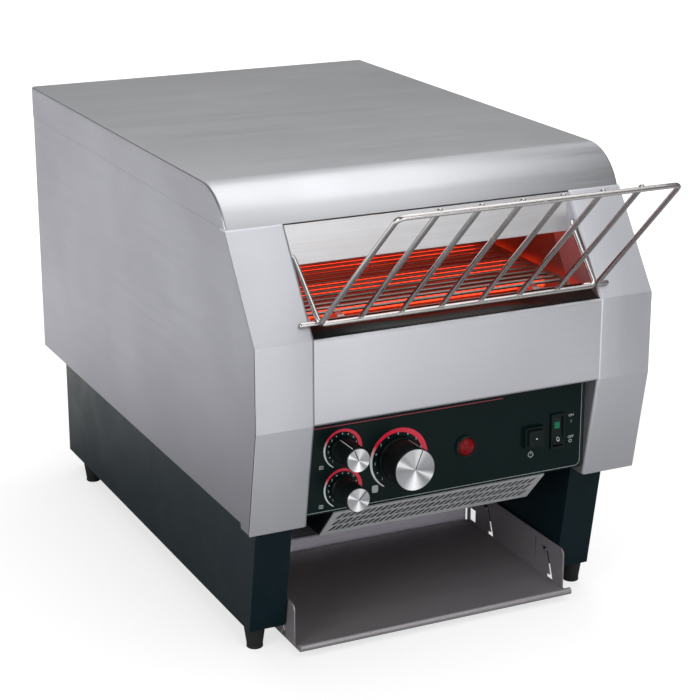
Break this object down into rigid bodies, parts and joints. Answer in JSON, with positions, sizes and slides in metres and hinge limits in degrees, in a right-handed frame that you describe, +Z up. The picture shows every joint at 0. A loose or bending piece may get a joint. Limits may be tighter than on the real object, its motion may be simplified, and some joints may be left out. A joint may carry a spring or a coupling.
{
  "type": "conveyor toaster",
  "caption": "Counter-top conveyor toaster with a stainless hood, sloped wire feed rack, rod belt between heating tubes, return chute and front collecting tray.",
  "frame": {"origin": "on the bench, under the middle of the box around the whole machine", "axes": "+X to the user's right, +Y from the feed rack to the rear, +Z up"},
  "size_m": [0.368, 0.6984, 0.4226],
  "materials": {
    "stainless": "fine brushed stainless steel",
    "inner_steel": "bright sheet steel, tinted by heat",
    "plain_steel": "plain folded sheet steel",
    "pod_paint": "dark grey paint, satin",
    "belt_wire": "bare steel rods dulled by heat",
    "rack_chrome": "plated wire",
    "shaft_steel": "turned steel",
    "bearing_bronze": "sintered bronze",
    "element_tube": "metal-sheathed heating tube",
    "ceramic": "glazed ceramic sleeve",
    "gear_casing": "cast casing",
    "motor_paint": "dark enamel",
    "panel_film": "printed film on sheet steel",
    "knob_black": "moulded, semi-gloss",
    "cap_aluminium": "spun face",
    "black_plastic": "moulded, matt",
    "rocker_black": "moulded, with a lit window",
    "button_black": "moulded, matt",
    "lamp_red": "clear red moulding",
    "board_green": "lacquered laminate",
    "foot_rubber": "moulded rubber"
  },
  "bodies": {
    "chassis": {"base_left": "pod_paint", "base_pan": "plain_steel", "base_right": "pod_paint", "bezel_left": "stainless", "bezel_right": "stainless", "bottom_plate": "plain_steel", "button_housing": "black_plastic", "circuit_board": "board_green", "control_box": "plain_steel", "control_panel": "panel_film", "conveyor_bands": "belt_wire", "conveyor_rods": "belt_wire", "cord_gland": "black_plastic", "cover_screws": "shaft_steel", "drive_chain": "shaft_steel", "drive_motor": "motor_paint", "element_insulators": "ceramic", "fan_frame": "black_plastic", "feet": "foot_rubber", "front_panel": "stainless", "gearbox": "gear_casing", "heat_shield": "inner_steel", "heat_switches": "black_plastic", "hood_cover": "stainless", "inner_wall_left": "inner_steel", "inner_wall_right": "inner_steel", "lamp_holder": "black_plastic", "lamp_lens": "lamp_red", "lower_elements": "element_tube", "lower_reflector": "inner_steel", "rear_cover": "plain_steel", "rocker_housing": "black_plastic", "shaft_bearings": "bearing_bronze", "side_panel_left": "stainless", "side_panel_right": "stainless", "speed_control": "black_plastic", "terminal_block": "black_plastic", "toast_chute": "inner_steel", "tray_pins": "shaft_steel", "upper_elements": "element_tube", "upper_reflector": "inner_steel", "vent_guard": "stainless"},
    "rack": {"feed_rack": "rack_chrome"},
    "tray": {"collecting_tray": "stainless"},
    "crumb_drawer": {"crumb_tray": "inner_steel"},
    "top_heat": {"top_heat_knob": "knob_black", "top_heat_cap": "cap_aluminium"},
    "bottom_heat": {"bottom_heat_knob": "knob_black", "bottom_heat_cap": "cap_aluminium"},
    "color": {"color_knob": "knob_black", "color_cap": "cap_aluminium"},
    "rocker": {"power_rocker": "rocker_black"},
    "button": {"standby_button": "button_black"},
    "drive": {"drive_shaft": "shaft_steel", "drive_wheels": "shaft_steel", "shaft_sprocket": "shaft_steel"},
    "idler": {"idler_shaft": "shaft_steel", "idler_wheels": "shaft_steel"},
    "gear_output": {"motor_sprocket": "shaft_steel"},
    "fan": {"fan_rotor": "black_plastic"}
  },
  "joints": [
    {"name": "rack_lift", "type": "hinge", "parent": "chassis", "child": "rack", "pos_m": [0, -0.1777, 0.349], "axis": [-1, 0, 0], "range_deg": [0, 60]},
    {"name": "tray_rise", "type": "slide", "parent": "chassis", "child": "tray", "axis": [0, 0.3448, 0.9387], "range_m": [0, 0.026]},
    {"name": "crumb_slide", "type": "slide", "parent": "chassis", "child": "crumb_drawer", "axis": [0, 1, 0], "range_m": [0, 0.18]},
    {"name": "top_heat_turn", "type": "hinge", "parent": "chassis", "child": "top_heat", "pos_m": [-0.10034, -0.20869, 0.1896], "axis": [0, 1, 0], "range_deg": [-126.7, 118.3]},
    {"name": "bottom_heat_turn", "type": "hinge", "parent": "chassis", "child": "bottom_heat", "pos_m": [-0.10034, -0.20869, 0.1552], "axis": [0, 1, 0], "range_deg": [-195.7, 49.3]},
    {"name": "color_turn", "type": "hinge", "parent": "chassis", "child": "color", "pos_m": [-0.04884, -0.20869, 0.1727], "axis": [0, 1, 0], "range_deg": [-171.1, 64.9]},
    {"name": "rocker_tip", "type": "hinge", "parent": "chassis", "child": "rocker", "pos_m": [0.1045, -0.20569, 0.1724], "axis": [1, 0, 0], "range_deg": [0, 16]},
    {"name": "button_press", "type": "slide", "parent": "chassis", "child": "button", "axis": [0, 1, 0], "range_m": [0, 0.003], "stiffness_N_per_m": 300, "springref_m": -0.002},
    {"name": "drive_turn", "type": "hinge", "parent": "chassis", "child": "drive", "pos_m": [0, -0.17869, 0.276], "axis": [-1, 0, 0], "continuous": true, "deforming": ["conveyor_rods", "drive_chain"]},
    {"name": "idler_turn", "type": "hinge", "parent": "chassis", "child": "idler", "pos_m": [0, 0.1784, 0.276], "axis": [-1, 0, 0], "continuous": true},
    {"name": "gear_output_turn", "type": "hinge", "parent": "chassis", "child": "gear_output", "pos_m": [0.146, -0.11453, 0.16795], "axis": [-1, 0, 0], "continuous": true},
    {"name": "fan_turn", "type": "hinge", "parent": "chassis", "child": "fan", "pos_m": [-0.05, -0.10969, 0.11], "axis": [0, 0, 1], "continuous": true}
  ],
  "couplings": [
    {"joint": "idler_turn", "follows": "drive_turn", "ratio": 1},
    {"joint": "gear_output_turn", "follows": "drive_turn", "ratio": 1}
  ]
}
